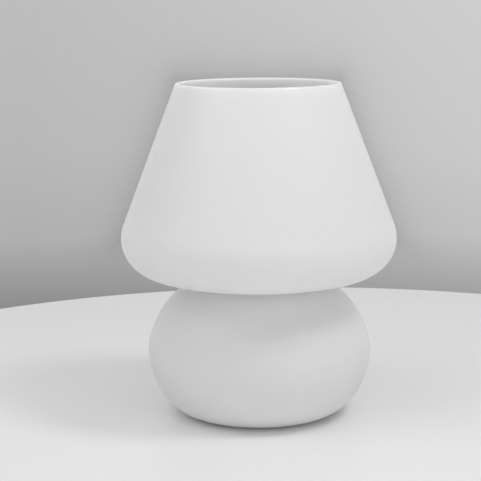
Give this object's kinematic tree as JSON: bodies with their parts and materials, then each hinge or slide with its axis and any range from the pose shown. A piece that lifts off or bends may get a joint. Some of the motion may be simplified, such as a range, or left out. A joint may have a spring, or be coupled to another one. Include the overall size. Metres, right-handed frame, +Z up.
{
  "type": "mushroom table lamp",
  "caption": "Table lamp of one satin opal glass body, a flared shade on a squat round base, with a screw-in bulb held on a sprung spider in its neck.",
  "frame": {"origin": "on the table, on the lamp's axis, between the foot pads", "axes": "+Z up along the lamp's axis, -Y towards the viewer's side, +Y towards the back where the mains lead enters"},
  "size_m": [0.1989, 0.199, 0.24],
  "materials": {
    "opal_glass": "white opal, satin-etched all over",
    "clear_silicone": "translucent, soft",
    "plated_steel": "bright zinc plate",
    "spring_steel": "bare rolled strip",
    "rivet_aluminium": "plain",
    "white_plastic": "moulded, satin",
    "porcelain": "white steatite",
    "brass": "plain, lightly dulled",
    "nickel_plate": "nickel-plated",
    "black_insulator": "moulded",
    "bulb_plastic": "white, moulded",
    "bulb_diffuser": "milky white diffuser, satin",
    "pressed_aluminium": "plain pressed",
    "board_white": "white solder mask on aluminium",
    "led_phosphor": "yellow phosphor in a white package",
    "board_green": "green solder mask",
    "component_black": "printed sleeve and dark ferrite, plain",
    "tinned_wire": "tinned copper"
  },
  "bodies": {
    "root": {"glass_body": "opal_glass", "lead_grommet": "clear_silicone", "foot_pads": "clear_silicone", "spider_plate": "plated_steel", "arm_cap_1": "clear_silicone", "arm_cap_2": "clear_silicone", "arm_cap_3": "clear_silicone", "snap_spring_1": "spring_steel", "snap_spring_2": "spring_steel", "snap_spring_3": "spring_steel", "spring_sleeve_1": "clear_silicone", "spring_sleeve_2": "clear_silicone", "spring_sleeve_3": "clear_silicone", "spider_rivets": "rivet_aluminium", "ring_nut_upper": "white_plastic", "ring_nut_lower": "white_plastic", "holder_skirt": "white_plastic", "holder_dome": "white_plastic", "holder_core": "porcelain", "screw_shell": "brass", "centre_contact": "brass", "side_contact": "brass", "live_terminal": "brass", "neutral_terminal": "brass", "terminal_screws": "plated_steel", "lead_gland": "white_plastic", "gland_screw": "white_plastic"},
    "bulb_advance": {"bulb_tip_contact": "brass"},
    "bulb": {"bulb_insulator": "black_insulator", "bulb_cap": "nickel_plate", "bulb_housing": "bulb_plastic", "bulb_heat_sink": "pressed_aluminium", "led_board": "board_white", "led_chips": "led_phosphor", "driver_board": "board_green", "driver_parts": "component_black", "driver_wires": "tinned_wire", "bulb_globe": "bulb_diffuser"}
  },
  "joints": [
    {"name": "bulb_lift", "type": "slide", "parent": "root", "child": "bulb_advance", "axis": [0, 0, 1], "range_m": [0, 0.0113]},
    {"name": "bulb_turn", "type": "hinge", "parent": "bulb_advance", "child": "bulb", "pos_m": [0, 0, 0.1], "axis": [0, 0, 1], "range_deg": [0, 1440]}
  ],
  "couplings": [
    {"joint": "bulb_lift", "follows": "bulb_turn", "m_per_rad": 0.00044913}
  ]
}
